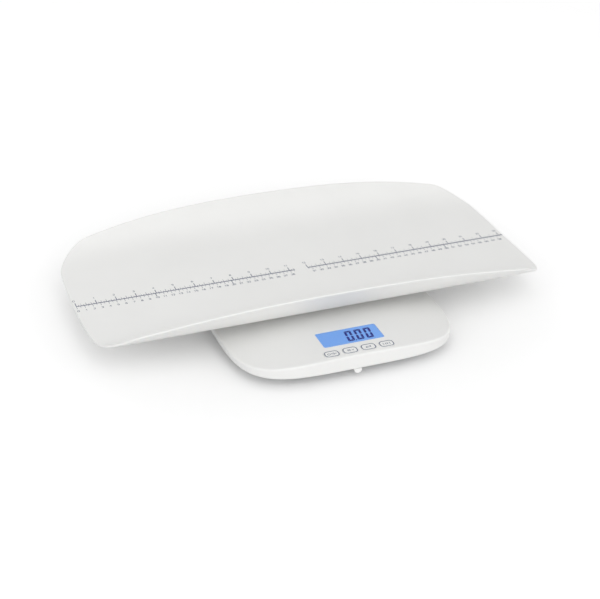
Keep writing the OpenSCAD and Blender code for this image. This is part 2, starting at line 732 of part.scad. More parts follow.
tray_shell();
tray_pads();
lock_hook();
hook_screws();
top_cover();
bottom_cover();
casing_screws();
display_window();
display_glass();
display_backlight();
display_holder();
contact_strips();
main_board();
board_chips();
board_sockets();
key_switches();
board_screws();
for (i = [0:key_count - 1]) key(i);
for (i = [0:3]) load_cell(i);
for (i = [0:3]) foot(i);
for (i = [0:3]) sole(i);
load_cell_screws();
cell_leads();
battery_well();
battery_well_screws();
for (i = [0:cell_count - 1]) battery(i);
battery_contacts();
battery_leads();
battery_door();
lock_slider();
slider_keeper();
keeper_screws();
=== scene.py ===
"""A baby weighing scale: a long open tray on a low crowned base with a lit display and four keys.

Every size is written in millimetres and becomes metres when a mesh is made. The frame is the CAD model's:
X runs along the tray, +Y to the back, Z up, and the feet stand on z = 0.
"""

import json
import math

import bpy
import numpy as np
from mathutils import Matrix, Vector
from mathutils.geometry import delaunay_2d_cdt


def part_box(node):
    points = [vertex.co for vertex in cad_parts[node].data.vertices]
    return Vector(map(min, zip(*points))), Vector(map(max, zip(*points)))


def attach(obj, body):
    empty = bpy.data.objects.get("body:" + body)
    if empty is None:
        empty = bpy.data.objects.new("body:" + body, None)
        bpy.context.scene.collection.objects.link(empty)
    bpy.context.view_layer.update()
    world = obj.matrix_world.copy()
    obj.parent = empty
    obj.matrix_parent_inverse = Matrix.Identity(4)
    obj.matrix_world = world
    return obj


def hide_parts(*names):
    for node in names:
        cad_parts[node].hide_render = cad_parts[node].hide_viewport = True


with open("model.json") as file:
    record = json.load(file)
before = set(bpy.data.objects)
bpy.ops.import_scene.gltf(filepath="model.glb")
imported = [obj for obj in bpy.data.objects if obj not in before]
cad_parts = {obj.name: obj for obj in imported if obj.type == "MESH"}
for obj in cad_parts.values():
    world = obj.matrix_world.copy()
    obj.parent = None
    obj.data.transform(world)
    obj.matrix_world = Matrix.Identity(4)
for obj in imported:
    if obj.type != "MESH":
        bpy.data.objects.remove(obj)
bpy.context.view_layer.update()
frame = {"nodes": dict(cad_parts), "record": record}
NODES = frame["nodes"]
MM = 0.001


def node_box(name):
    """Lowest and highest corner of a CAD node, in millimetres."""
    low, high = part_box(name)
    return np.array(low) / MM, np.array(high) / MM


# ---- sizes, read from the frame where it holds them ----

# tray
tray_low, tray_high = node_box("tray_shell")
TRAY_HALF_LEN = tray_high[0]
TRAY_HALF_DEP = (tray_high[1] - tray_low[1]) / 2
TRAY_Y = (tray_high[1] + tray_low[1]) / 2
TRAY_RISE = 45.8
TRAY_Z = tray_high[2] - TRAY_RISE
TRAY_WALL = 2.9
CORNER_R = 55.0
END_BOW = 3.7
SIDE_BOW = 12.2
SIDE_SQUARE = 0.45         # shares of the side's bow that follow the square and the fourth power
SIDE_FOURTH = 0.55
BOWL_SQUARE = 0.34         # the same for the tray's section, whose rest follows the sixth power
BOWL_FOURTH = 0.92
LEG_R = 13.0
LEG_EDGE = 0.8
LEG_FLARE = 3.0
LEG_SINK = 0.4             # how far the leg's flare reaches into the tray's wall
PIN_R = 3.5
PIN_LEN = 7.0
PIN_EDGE = 1.2
PIN_SINK = 0.2
BOSS_R = 4.0
BOSS_HOLE_R = 1.5
BOSS_EDGE = 0.4
BOSS_SINK = 1.2
HOOK_SCREW_X = 5.0         # from each end of the lock's hook
SEAT_X = 80.0
SEAT_Y = 55.0

# base
cover_low, cover_high = node_box("top_cover")
BASE_HALF_W = cover_high[0]
BASE_HALF_D = (cover_high[1] - cover_low[1]) / 2
BASE_Y = (cover_high[1] + cover_low[1]) / 2
LIP_Z = cover_low[2]
DECK_Z = cover_high[2]
BASE_POWER = 4.4
CROWN = 11.0
CROWN_POWER = 2.3
COVER_WALL = 2.5
EDGE_R = 2.5
INNER_R = 3.0
LIP_R = 0.8
SEAT_R = 17.0
SEAT_EDGE = 0.8
SEAT_SINK = 0.4
PIN_HOLE_R = 4.1
PIN_HOLE_EDGE = 0.4
PIN_HOLE_DEPTH = 7.0

SEATS = [(sx * SEAT_X, TRAY_Y + sy * SEAT_Y) for sx in (-1, 1) for sy in (-1, 1)]

# the camera, from the ruler's marks and the outlines in the photograph
CAM_AZIMUTH = math.radians(21.9935)
CAM_ELEVATION = math.radians(30.246)
CAM_ROLL = math.radians(1.4529)
CAM_DISTANCE = 1886.37
CAM_TARGET = (32.53, TRAY_Y + 80.98, -57.6)
CAM_LENS = 81.886
CAM_SENSOR = 36.0

# how finely the curves are drawn
SETTLE = 12                # rounds in which a corner that two curves share is found
SLOPE_STEP = 0.01
END_STEPS = 10
CORNER_STEPS = 26
SIDE_STEPS = 48
AXIS_R = 0.01              # a turned shape starts this near to its axis


# ---- the surfaces ----


def bowl(y):
    """Height of the tray's inside over its lowest line, at y from the tray's middle."""
    q = np.abs(y) / TRAY_HALF_DEP
    sixth = 1 - BOWL_SQUARE + BOWL_FOURTH
    return TRAY_RISE * (BOWL_SQUARE * q**2 - BOWL_FOURTH * q**4 + sixth * q**6)


def crown_z(x):
    """Height of the deck at x."""
    return DECK_Z - CROWN * (np.abs(x) / BASE_HALF_W) ** CROWN_POWER


def slope(surface, at):
    """Slope of one of these surfaces along the direction in which it bends."""
    return (surface(at + SLOPE_STEP) - surface(at - SLOPE_STEP)) / (2 * SLOPE_STEP)


def bowl_up(y):
    """Upward normals of the tray's section."""
    return np.stack([0 * y, -slope(bowl, y), 0 * y + 1], 1)


def deck_up(x):
    """Upward normals of the deck."""
    return np.stack([-slope(crown_z, x), 0 * x, 0 * x + 1], 1)


def tray_quarter():
    """Core points of the tray's outline and their outward normals, from the +X end to the +Y rim."""
    core_a = TRAY_HALF_LEN - CORNER_R
    core_b = TRAY_HALF_DEP - CORNER_R

    def end_x(y):
        return core_a - END_BOW * (y / core_b) ** 2

    def side_y(x):
        t = x / core_a
        return core_b - SIDE_BOW * (SIDE_SQUARE * t**2 + SIDE_FOURTH * t**4)

    def end_normal(y):
        return np.array([1.0, 2 * END_BOW * y / core_b**2])

    def side_normal(x):
        fall = 2 * SIDE_SQUARE * x / core_a**2 + 4 * SIDE_FOURTH * x**3 / core_a**4
        return np.array([SIDE_BOW * fall, 1.0])

    yc = core_b
    for _ in range(SETTLE):
        yc = side_y(end_x(yc))
    xc = end_x(yc)

    points = []
    for y in np.linspace(0, yc, END_STEPS)[:-1]:
        points.append(((end_x(y), y), end_normal(y)))
    n0, n1 = end_normal(yc), side_normal(xc)
    a0, a1 = math.atan2(n0[1], n0[0]), math.atan2(n1[1], n1[0])
    for a in np.linspace(a0, a1, CORNER_STEPS)[:-1]:
        points.append(((xc, yc), np.array([math.cos(a), math.sin(a)])))
    for x in np.linspace(xc, 0, SIDE_STEPS):
        points.append(((x, side_y(x)), side_normal(x)))
    core = np.array([p for p, _ in points])
    normal = np.array([n / np.linalg.norm(n) for _, n in points])
    return core, normal


def whole_loop(quarter):
    """The closed loop, counterclockwise, from its first quarter and that quarter's normals."""
    core, normal = quarter
    flip_x, flip_y = np.array([-1, 1]), np.array([1, -1])
    half_c = np.concatenate([core, core[-2::-1] * flip_x])
    half_n = np.concatenate([normal, normal[-2::-1] * flip_x])
    loop_c = np.concatenate([half_c, half_c[-2:0:-1] * flip_y])
    loop_n = np.concatenate([half_n, half_n[-2:0:-1] * flip_y])
    return loop_c, loop_n


def base_loop(count=400):
    """The base's outline about its own middle, a superellipse, with its outward normals."""
    phi = np.arange(count) * 2 * math.pi / count
    c, s = np.cos(phi), np.sin(phi)
    powers = np.abs(c / BASE_HALF_W) ** BASE_POWER + np.abs(s / BASE_HALF_D) ** BASE_POWER
    r = powers ** (-1 / BASE_POWER)
    x, y = r * c, r * s
    nx = np.sign(x) * np.abs(x / BASE_HALF_W) ** (BASE_POWER - 1) / BASE_HALF_W
    ny = np.sign(y) * np.abs(y / BASE_HALF_D) ** (BASE_POWER - 1) / BASE_HALF_D
    normal = np.stack([nx, ny], 1)
    normal /= np.linalg.norm(normal, axis=1)[:, None]
    return np.stack([x, y], 1), normal


# ---- meshes ----


def lifted(flat, z):
    """Points or normals of a plane with a third value, one for each or one for all."""
    return np.column_stack([flat, np.broadcast_to(z, len(flat))])


def unit(vectors):
    """The vectors at length one."""
    return vectors / np.linalg.norm(vectors, axis=-1, keepdims=True)


class Shell:
    """Points in millimetres with their normals, and the faces between them."""

    def __init__(self):
        self.points = []
        self.normals = []
        self.faces = []

    def add(self, points, normals):
        start = len(self.points)
        self.points.extend(np.asarray(points, float).tolist())
        self.normals.extend(np.asarray(normals, float).tolist())
        return start

    def strip(self, a, b, count, closed=True):
        """Quads between two rows of points that start at a and b."""
        for i in range(count if closed else count - 1):
            j = (i + 1) % count
            self.faces.append((a + i, a + j, b + j, b + i))

    def rows(self, rows, closed=True):
        """Rows of points, each a pair (points, normals), joined one to the next; returns their starts."""
        starts = [self.add(p, n) for p, n in rows]
        for a, b in zip(starts, starts[1:]):
            self.strip(a, b, len(rows[0][0]), closed)
        return starts

    def fan(self, start, count, flip=False):
        """One flat face over a closed row."""
        face = tuple(range(start, start + count))
        self.faces.append(face[::-1] if flip else face)

    def close(self, count, triangles, faces):
        """Triangles inside a ring of count points, for each face given as (points, normals, ring's start)."""
        for points, normals, ring in faces:
            extra = self.add(points[count:], normals[count:])
            index = np.concatenate([ring + np.arange(count), extra + np.arange(len(points) - count)])
            self.faces.extend(tuple(index[t]) for t in triangles)

    def move(self, y, z=0.0):
        """Shifts all points."""
        points = np.array(self.points)
        points[:, 1] += y
        points[:, 2] += z
        self.points = points.tolist()

    def mesh(self, name):
        """The mesh in metres, its faces turned to agree with the normals."""
        co = np.array(self.points) * MM
        no = np.array(self.normals)
        length = np.linalg.norm(no, axis=1)
        no /= np.where(length > 1e-9, length, 1)[:, None]
        faces = []
        for f in self.faces:
            f = [v for k, v in enumerate(f) if v != f[k - 1]]
            p = co[f]
            n = np.zeros(3)
            for k in range(len(f)):
                n += np.cross(p[k - 1], p[k])
            faces.append(f if n @ no[f].sum(0) >= 0 else f[::-1])
        me = bpy.data.meshes.new(name)
        me.from_pydata(co.tolist(), [], faces)
        me.polygons.foreach_set("use_smooth", [True] * len(me.polygons))
        me.normals_split_custom_set_from_vertices([tuple(n) for n in no])
        me.update()
        return me


def place(name, mesh, material, body, replaces=()):
    """The mesh as a named piece that rides on a body."""
    obj = bpy.data.objects.new(name, mesh)
    bpy.context.scene.collection.objects.link(obj)
    mesh.materials.clear()
    mesh.materials.append(material)
    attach(obj, body)
    if replaces:
        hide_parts(*replaces)
    return obj


def inside(points, polygon):
    """Which of the points lie inside the polygon."""
    x, y = points[:, 0][:, None], points[:, 1][:, None]
    a, b = polygon, np.roll(polygon, -1, axis=0)
    ay, by = a[:, 1], b[:, 1]
    crosses = (ay > y) != (by > y)
    rise = np.where(by == ay, 1e-12, by - ay)
    at = a[:, 0] + (y - ay) / rise * (b[:, 0] - a[:, 0])
    return (crosses & (x < at)).sum(1) % 2 == 1


def distance_to(points, polygon):
    """Distance of each point to the polygon's nearest corner."""
    d = points[:, None, :] - polygon[None, :, :]
    return np.sqrt((d**2).sum(2)).min(1)


KEEP_OFF = 0.4             # share of a grid's step that its points keep from the loops
SAME_POINT = 1e-7


def fill(outer, holes, step_x, step_y):
    """Triangles that fill the outer loop round the holes; the loops' points come first, in their order."""
    loops = [np.asarray(outer)] + [np.asarray(h) for h in holes]
    low, high = loops[0].min(0), loops[0].max(0)
    xs = np.arange(math.ceil(low[0] / step_x), math.floor(high[0] / step_x) + 1) * step_x
    ys = np.arange(math.ceil(low[1] / step_y), math.floor(high[1] / step_y) + 1) * step_y
    grid = np.stack(np.meshgrid(xs, ys), -1).reshape(-1, 2)
    near = min(step_x, step_y) * KEEP_OFF
    keep = inside(grid, loops[0]) & (distance_to(grid, loops[0]) > near)
    for h in loops[1:]:
        keep &= ~inside(grid, h) & (distance_to(grid, h) > near)
    points = np.concatenate(loops + [grid[keep]])
    edges = []
    start = 0
    for loop in loops:
        edges += [(start + i, start + (i + 1) % len(loop)) for i in range(len(loop))]
        start += len(loop)
    out = delaunay_2d_cdt([Vector(p) for p in points], edges, [], 0, SAME_POINT)
    co = np.array([tuple(v) for v in out[0]])
    tris = np.array([tuple(f) for f in out[2]])
    middle = co[tris].mean(1)
    good = inside(middle, loops[0])
    for h in loops[1:]:
        good &= ~inside(middle, h)
    return co, tris[good]


def arc(start, end, count):
    """Angles from start to end in degrees, as radians."""
    return np.radians(np.linspace(start, end, count))


def lathe(shell, centre, profile, count=48):
    """A shape turned round the upright line at centre. Its profile is (radius, z, normal r, normal z)."""
    phi = np.arange(count) * 2 * math.pi / count
    ring = np.stack([np.cos(phi), np.sin(phi)], 1)
    rows = []
    for r, z, nr, nz in profile:
        rows.append((lifted(centre + r * ring, z), lifted(nr * ring, nz)))
    return shell.rows(rows)


def rounded(r0, z0, radius, a0, a1, count=5):
    """A round stretch of a lathe profile: its middle, its radius and the angles between which it runs."""
    return [(r0 + radius * math.cos(a), z0 + radius * math.sin(a), math.cos(a), math.sin(a))
            for a in arc(a0, a1, count)]


# ---- materials ----


def new_material(name):
    material = bpy.data.materials.new(name)
    material.use_nodes = True
    tree = material.node_tree
    return material, tree, tree.nodes["Principled BSDF"]


def noise(tree, scale, detail=2.0, roughness=0.5):
    """Noise in the object's own coordinates. The scale is in waves per metre."""
    coords = tree.nodes.get("Coords") or tree.nodes.new("ShaderNodeTexCoord")
    coords.name = "Coords"
    node = tree.nodes.new("ShaderNodeTexNoise")
    node.inputs["Scale"].default_value = scale
    node.inputs["Detail"].default_value = detail
    node.inputs["Roughness"].default_value = roughness
    tree.links.new(coords.outputs["Object"], node.inputs["Vector"])
    return node


def colour_ramp(tree, fac, low, high, margin=0.3):
    """Two near colours that follow the noise, whose ends are cut off by the margin."""
    ramp = tree.nodes.new("ShaderNodeValToRGB")
    first, last = ramp.color_ramp.elements
    first.position = margin
    last.position = 1 - margin
    first.color = (*low, 1)
    last.color = (*high, 1)
    tree.links.new(fac, ramp.inputs["Fac"])
    return ramp.outputs["Color"]


def vary_colour(tree, shader, fac, low, high):
    """The base colour runs between two near colours with the noise."""
    tree.links.new(colour_ramp(tree, fac, low, high), shader.inputs["Base Color"])


def map_range(tree, value, to_low, to_high, from_low=0.0, from_high=1.0):
    """The value, taken from one range to another and held at its ends."""
    node = tree.nodes.new("ShaderNodeMapRange")
    node.inputs["From Min"].default_value = from_low
    node.inputs["From Max"].default_value = from_high
    node.inputs["To Min"].default_value = to_low
    node.inputs["To Max"].default_value = to_high
    tree.links.new(value, node.inputs["Value"])
    return node.outputs["Result"]


def vary_roughness(tree, shader, fac, low, high):
    tree.links.new(map_range(tree, fac, low, high, 0.3, 0.7), shader.inputs["Roughness"])


def bump(tree, shader, height, strength, distance):
    node = tree.nodes.new("ShaderNodeBump")
    node.inputs["Strength"].default_value = strength
    node.inputs["Distance"].default_value = distance
    tree.links.new(height, node.inputs["Height"])
    tree.links.new(node.outputs["Normal"], shader.inputs["Normal"])


def moulded(name, low, high, rough, grain, depth, metallic=0.0):
    """A moulded or rolled surface: a slight cloud of colour, uneven gloss and a fine grain."""
    material, tree, shader = new_material(name)
    shader.inputs["Metallic"].default_value = metallic
    vary_colour(tree, shader, noise(tree, 14, 3).outputs["Fac"], low, high)
    vary_roughness(tree, shader, noise(tree, 90, 4).outputs["Fac"], *rough)
    bump(tree, shader, noise(tree, grain, 3, 0.6).outputs["Fac"], 0.25, depth)
    return material


def printed(name, low, high):
    """Screen-printed ink, slightly uneven where it soaked."""
    material, tree, shader = new_material(name)
    vary_colour(tree, shader, noise(tree, 700, 3).outputs["Fac"], low, high)
    vary_roughness(tree, shader, noise(tree, 500, 2).outputs["Fac"], 0.5, 0.6)
    bump(tree, shader, noise(tree, 3000, 2).outputs["Fac"], 0.15, 0.00002)
    return material


LIT_LOW = (0.160, 0.345, 0.765)
LIT_HIGH = (0.185, 0.375, 0.800)
LIT_SEEN = 0.87            # strength of the lit face to the eye, and of the light that it spreads
LIT_SPILL = 0.2


def lit_display(name):
    """The lit face behind the window: an even blue that spills little light on the parts around it."""
    material, tree, shader = new_material(name)
    shader.inputs["Roughness"].default_value = 0.5
    shader.inputs["Base Color"].default_value = (0.02, 0.05, 0.12, 1)
    lit = colour_ramp(tree, noise(tree, 22, 1).outputs["Fac"], LIT_LOW, LIT_HIGH, 0.25)
    tree.links.new(lit, shader.inputs["Emission Color"])
    path = tree.nodes.new("ShaderNodeLightPath")
    spill = map_range(tree, path.outputs["Diffuse Depth"], LIT_SEEN, LIT_SPILL)
    tree.links.new(spill, shader.inputs["Emission Strength"])
    bump(tree, shader, noise(tree, 4000, 1).outputs["Fac"], 0.1, 0.00001)
    return material


def window(name):
    """The clear window, whose low index keeps it from mirroring the room."""
    material, tree, shader = new_material(name)
    shader.inputs["Base Color"].default_value = (0.97, 0.985, 1.0, 1)
    shader.inputs["Transmission Weight"].default_value = 1.0
    shader.inputs["IOR"].default_value = 1.06
    vary_roughness(tree, shader, noise(tree, 60, 2).outputs["Fac"], 0.02, 0.05)
    bump(tree, shader, noise(tree, 900, 2).outputs["Fac"], 0.05, 0.00001)
    return material


def lcd_ink(name):
    """A dark segment: absorbs the light behind it, with a faint blue left over."""
    material, tree, shader = new_material(name)
    shader.inputs["Roughness"].default_value = 0.55
    cloud = noise(tree, 900, 2).outputs["Fac"]
    vary_colour(tree, shader, cloud, (0.002, 0.003, 0.05), (0.004, 0.005, 0.07))
    shader.inputs["Emission Color"].default_value = (0.001, 0.001, 0.14, 1)
    shader.inputs["Emission Strength"].default_value = 0.9
    bump(tree, shader, noise(tree, 3000, 2).outputs["Fac"], 0.1, 0.00001)
    return material


# each moulded surface: two near colours, range of roughness, grains per metre, their depth in metres
# and, for a metal, how metallic it is
MOULDED = {
    "white_shell": ((0.85, 0.85, 0.836), (0.87, 0.87, 0.856), (0.36, 0.44), 2600, 0.00002),
    "white_casing": ((0.87, 0.87, 0.858), (0.89, 0.89, 0.878), (0.34, 0.42), 2600, 0.00002),
    "white_key": ((0.88, 0.88, 0.87), (0.90, 0.90, 0.89), (0.40, 0.46), 3000, 0.00002),
    "grey_plastic": ((0.52, 0.53, 0.53), (0.56, 0.57, 0.57), (0.52, 0.62), 1800, 0.00005),
    "lcd_glass": ((0.05, 0.10, 0.22), (0.06, 0.12, 0.25), (0.08, 0.14), 900, 0.00001),
    "light_guide": ((0.30, 0.48, 0.85), (0.34, 0.52, 0.9), (0.25, 0.35), 1200, 0.00002),
    "pcb": ((0.010, 0.085, 0.03), (0.014, 0.11, 0.04), (0.3, 0.42), 1500, 0.00004),
    "chip": ((0.006, 0.006, 0.007), (0.010, 0.010, 0.011), (0.5, 0.6), 2500, 0.00003),
    "socket": ((0.66, 0.61, 0.47), (0.72, 0.67, 0.54), (0.45, 0.55), 2000, 0.00003),
    "switch": ((0.012, 0.012, 0.014), (0.02, 0.02, 0.022), (0.45, 0.55), 2000, 0.00003),
    "black_rubber": ((0.010, 0.010, 0.011), (0.018, 0.018, 0.019), (0.75, 0.9), 1400, 0.0001),
    "grey_rubber": ((0.05, 0.052, 0.055), (0.07, 0.072, 0.075), (0.7, 0.85), 1400, 0.0001),
    "zinc_steel": ((0.48, 0.49, 0.51), (0.60, 0.61, 0.62), (0.25, 0.38), 2200, 0.00002, 1.0),
    "cell_steel": ((0.36, 0.38, 0.40), (0.44, 0.46, 0.48), (0.32, 0.45), 1600, 0.00003, 1.0),
    "red_lead": ((0.32, 0.012, 0.01), (0.38, 0.016, 0.013), (0.4, 0.5), 2500, 0.00002),
    "black_lead": ((0.008, 0.008, 0.008), (0.014, 0.014, 0.014), (0.4, 0.5), 2500, 0.00002),
    "battery_skin": ((0.015, 0.065, 0.035), (0.022, 0.085, 0.05), (0.22, 0.3), 800, 0.00002),
}
MATERIALS = {name: moulded(name, *look) for name, look in MOULDED.items()}
MATERIALS["ruler_ink"] = printed("ruler_ink", (0.085, 0.10, 0.17), (0.115, 0.13, 0.20))
MATERIALS["key_ink"] = printed("key_ink", (0.055, 0.085, 0.16), (0.075, 0.11, 0.19))
MATERIALS["lcd_face"] = lit_display("lcd_face")
MATERIALS["lcd_ink"] = lcd_ink("lcd_ink")
MATERIALS["clear_window"] = window("clear_window")

# which material each CAD node takes
NODE_SLOTS = {part["node"]: part["material_slot"] for part in frame["record"]["subparts"]}


# ---- tray ----

RIM_STEPS = 10
TRAY_RINGS = 16
RING_CROWDING = 1.35       # above one, the rings stand closer together near the rim
LIFT_REACH = 32.0          # how far in from the rim the wall leans over to meet the round rim
FLAT_INSET = 48.0          # inset of the ring that the tray's floor fills
TRAY_GRID = (22.0, 4.0)    # steps of the floor's points along X and Y


def rim_start(core, normal):
    """Inset and lift of the ring where the round rim begins, so that the rim's crest keeps its height."""
    r = TRAY_WALL / 2
    outline = core + CORNER_R * normal
    inset = np.full(len(core), r)
    lift = np.zeros(len(core))
    for _ in range(SETTLE):
        at = outline - inset[:, None] * normal
        fall = 1 - inset / LIFT_REACH
        lean = lift * 3 * fall**2 / LIFT_REACH
        grad = np.stack([lean * normal[:, 0], slope(bowl, at[:, 1]) + lean * normal[:, 1]], 1)
        scale = np.sqrt(1 + (grad**2).sum(1))
        outward = (grad * normal).sum(1) / scale
        inset = r * (1 + outward)
        level = bowl(outline[:, 1]) - bowl(outline[:, 1] - inset * normal[:, 1])
        need = level - r * (1 - 1 / scale)
        lift = need / (1 - inset / LIFT_REACH) ** 3
    return inset, lift


def tray_rings(core, normal):
    """Rings of the tray's inside, from the rim inward, with their normals."""
    outline = core + CORNER_R * normal
    first, lift = rim_start(core, normal)
    steps = (np.arange(TRAY_RINGS) / (TRAY_RINGS - 1)) ** RING_CROWDING
    rings = []
    for step in steps:
        inset = first + (FLAT_INSET - first) * step
        at = outline - inset[:, None] * normal
        fall = np.clip(1 - inset / LIFT_REACH, 0, 1) ** 3
        rings.append(lifted(at, bowl(at[:, 1]) + lift * fall))
    rings = np.array(rings)
    along = np.roll(rings, -1, axis=1) - np.roll(rings, 1, axis=1)
    inward = np.gradient(rings, axis=0)
    normals = unit(np.cross(along, inward))
    return rings, normals * np.sign(normals[-1, 0, 2])


def rim_rows(top, up, normal):
    """Rows of the round rim, from the inside over the crest to the outside."""
    flat = lifted(normal, 0)
    out = unit(flat - (flat * up).sum(1)[:, None] * up)
    r = TRAY_WALL / 2
    middle = top - r * up
    rows = []
    for a in arc(0, 180, RIM_STEPS + 1):
        turn = math.cos(a) * up + math.sin(a) * out
        rows.append((middle + r * turn, turn))
    return rows


def add_leg(shell, x, y):
    """A leg of the tray with its locating pin."""
    low = node_box("tray_pads")[1][2]
    under = TRAY_Z + float(bowl(SEAT_Y)) - TRAY_WALL + LEG_SINK
    leg = [(AXIS_R, low, 0, -1)] + rounded(LEG_R - LEG_EDGE, low + LEG_EDGE, LEG_EDGE, -90, 0)
    for a in arc(0, 80, 6):
        r = LEG_R + LEG_FLARE * (1 - math.cos(a))
        leg.append((r, under - LEG_FLARE * (1 - math.sin(a)), math.cos(a), -math.sin(a)))
    lathe(shell, (x, y), leg)
    pin_low = low - PIN_LEN
    pin = [(AXIS_R, pin_low, 0, -1)] + rounded(PIN_R - PIN_EDGE, pin_low + PIN_EDGE, PIN_EDGE, -90, 0)
    lathe(shell, (x, y), pin + [(PIN_R, low + PIN_SINK, 1, 0)], 32)


def add_boss(shell, x, y, low):
    """A boss that carries the lock's hook."""
    top = TRAY_Z + float(bowl(y - TRAY_Y)) - TRAY_WALL + BOSS_SINK
    edge = rounded(BOSS_R - BOSS_EDGE, low + BOSS_EDGE, BOSS_EDGE, -90, 0, 3)
    lathe(shell, (x, y), [(BOSS_HOLE_R, low, 0, -1)] + edge + [(BOSS_R, top, 1, 0)], 32)


def tray_mesh():
    core, normal = whole_loop(tray_quarter())
    rings, normals = tray_rings(core, normal)
    rim = rim_rows(rings[0], normals[0], normal)
    inner = list(zip(rings, normals))
    outer = [(p - TRAY_WALL * n, -n) for p, n in inner]
    shell = Shell()
    starts = shell.rows(inner[::-1] + rim[1:-1] + outer)

    # the floor inside the last ring, on both faces
    co, triangles = fill(rings[-1][:, :2], [], *TRAY_GRID)
    up = unit(bowl_up(co[:, 1]))
    top = lifted(co, bowl(co[:, 1]))
    under = top - TRAY_WALL * up
    shell.close(len(core), triangles, ((top, up, starts[0]), (under, -up, starts[-1])))
    shell.move(TRAY_Y, TRAY_Z)

    for x, y in SEATS:
        add_leg(shell, x, y)
    hook_low, hook_high = node_box("lock_hook")
    for x in (hook_low[0] + HOOK_SCREW_X, hook_high[0] - HOOK_SCREW_X):
        add_boss(shell, x, (hook_low[1] + hook_high[1]) / 2, hook_high[2])
    return shell.mesh("tray_shell_skin")


# ---- flat print ----

STROKES = {
    "0": [[(0.5, 0), (0.12, 0.12), (0, 0.5), (0, 1.1), (0.12, 1.48), (0.5, 1.6), (0.88, 1.48), (1, 1.1),
           (1, 0.5), (0.88, 0.12), (0.5, 0)]],
    "1": [[(0.15, 1.25), (0.55, 1.6), (0.55, 0)]],
    "2": [[(0, 1.25), (0.15, 1.52), (0.5, 1.6), (0.85, 1.5), (1, 1.2), (0.85, 0.85), (0, 0), (1, 0)]],
    "3": [[(0, 1.35), (0.25, 1.58), (0.7, 1.58), (0.98, 1.3), (0.85, 0.95), (0.4, 0.85), (0.85, 0.75),
           (1, 0.4), (0.75, 0.05), (0.3, 0), (0, 0.22)]],
    "4": [[(0.75, 0), (0.75, 1.6), (0, 0.5), (1, 0.5)]],
    "5": [[(0.95, 1.6), (0.1, 1.6), (0.05, 0.9), (0.5, 1.0), (0.9, 0.8), (1, 0.45), (0.8, 0.08), (0.35, 0),
           (0, 0.18)]],
    "6": [[(0.9, 1.45), (0.55, 1.6), (0.15, 1.35), (0, 0.8), (0.02, 0.35), (0.3, 0), (0.7, 0), (1, 0.3),
           (0.95, 0.75), (0.6, 0.95), (0.2, 0.85), (0.02, 0.55)]],
    "7": [[(0, 1.6), (1, 1.6), (0.35, 0)]],
    "8": [[(0.5, 0.87), (0.12, 1.05), (0.1, 1.4), (0.5, 1.6), (0.9, 1.4), (0.88, 1.05), (0.5, 0.87),
           (0.05, 0.62), (0.03, 0.2), (0.5, 0), (0.97, 0.2), (0.95, 0.62), (0.5, 0.87)]],
    "9": [[(0.1, 0.15), (0.45, 0), (0.85, 0.25), (1, 0.8), (0.98, 1.25), (0.7, 1.6), (0.3, 1.6), (0, 1.3),
           (0.05, 0.85), (0.4, 0.65), (0.8, 0.75), (0.98, 1.05)]],
}
GLYPH_HEIGHT = 1.6
INK_LIFT = 0.05            # how far print stands over a bent surface, and over a level one
LEVEL_LIFT = 0.02


class Print:
    """Flat strokes and shapes that lie on a surface."""

    def __init__(self, height, normal, lift=INK_LIFT):
        self.shell = Shell()
        self.height = height
        self.normal = normal
        self.lift = lift

    def row(self, flat):
        """Points of the plane, laid on the surface, with their normals."""
        x, y = flat[:, 0], flat[:, 1]
        return lifted(flat, self.height(x, y) + self.lift), self.normal(x, y)

    def area(self, corners):
        start = self.shell.add(*self.row(np.asarray(corners, float)))
        self.shell.fan(start, len(corners))

    def box(self, x0, x1, y0, y1):
        self.area([(x0, y0), (x1, y0), (x1, y1), (x0, y1)])

    def stroke(self, points, width, closed=False):
        """A line of even width with mitred bends."""
        p = np.asarray(points, float)
        if closed:
            before, after = np.roll(p, 1, axis=0), np.roll(p, -1, axis=0)
        else:
            before = np.concatenate([[2 * p[0] - p[1]], p[:-1]])
            after = np.concatenate([p[1:], [2 * p[-1] - p[-2]]])
        arriving = unit(p - before)
        mid = unit(arriving + unit(after - p))
        side = np.stack([-mid[:, 1], mid[:, 0]], 1)
        reach = width / 2 / np.clip((mid * arriving).sum(1), 0.55, 1)
        left, right = p + side * reach[:, None], p - side * reach[:, None]
        self.shell.rows([self.row(left), self.row(right)], closed)

    def number(self, text, x, y, height, width, pen):
        """A number centred on (x, y)."""
        gap = 0.3 * width
        left = x - (len(text) * width + (len(text) - 1) * gap) / 2
        low = y - height / 2
        for k, digit in enumerate(text):
            start = left + k * (width + gap)
            for line in STROKES[digit]:
                self.stroke([(start + px * width, low + py / GLYPH_HEIGHT * height) for px, py in line], pen)


def level_print(z):
    """Print that lies on a level face."""

    def height(x, y):
        return z

    def normal(x, y):
        return np.stack([0 * x, 0 * x, 0 * x + 1], 1)

    return Print(height, normal, LEVEL_LIFT)


# ---- ruler ----

RULER_Y = TRAY_Y + 3.1
RULER_ZERO_X = -293.75
RULER_START = RULER_ZERO_X - 0.45
RULER_END = TRAY_HALF_LEN - 1.6
RULER_LINE = 1.6
CM = 10.0
INCH = 25.4
LAST_CM = 59
LAST_EIGHTH = 8 * 23 + 4
GAP_START = RULER_ZERO_X + 28.65 * CM
GAP_END = RULER_ZERO_X + 12 * INCH - 0.4

# length and width of each kind of tick
LONG_TICK = (7.4, 0.95)
CM_TICK = (5.4, 0.46)
HALF_CM_TICK = (3.2, 0.42)
EIGHTH_TICK = (1.8, 0.6)
INCH_TICKS = {0: LONG_TICK, 4: (5.2, 0.46), 2: (4.2, 0.42), 6: (4.2, 0.42)}

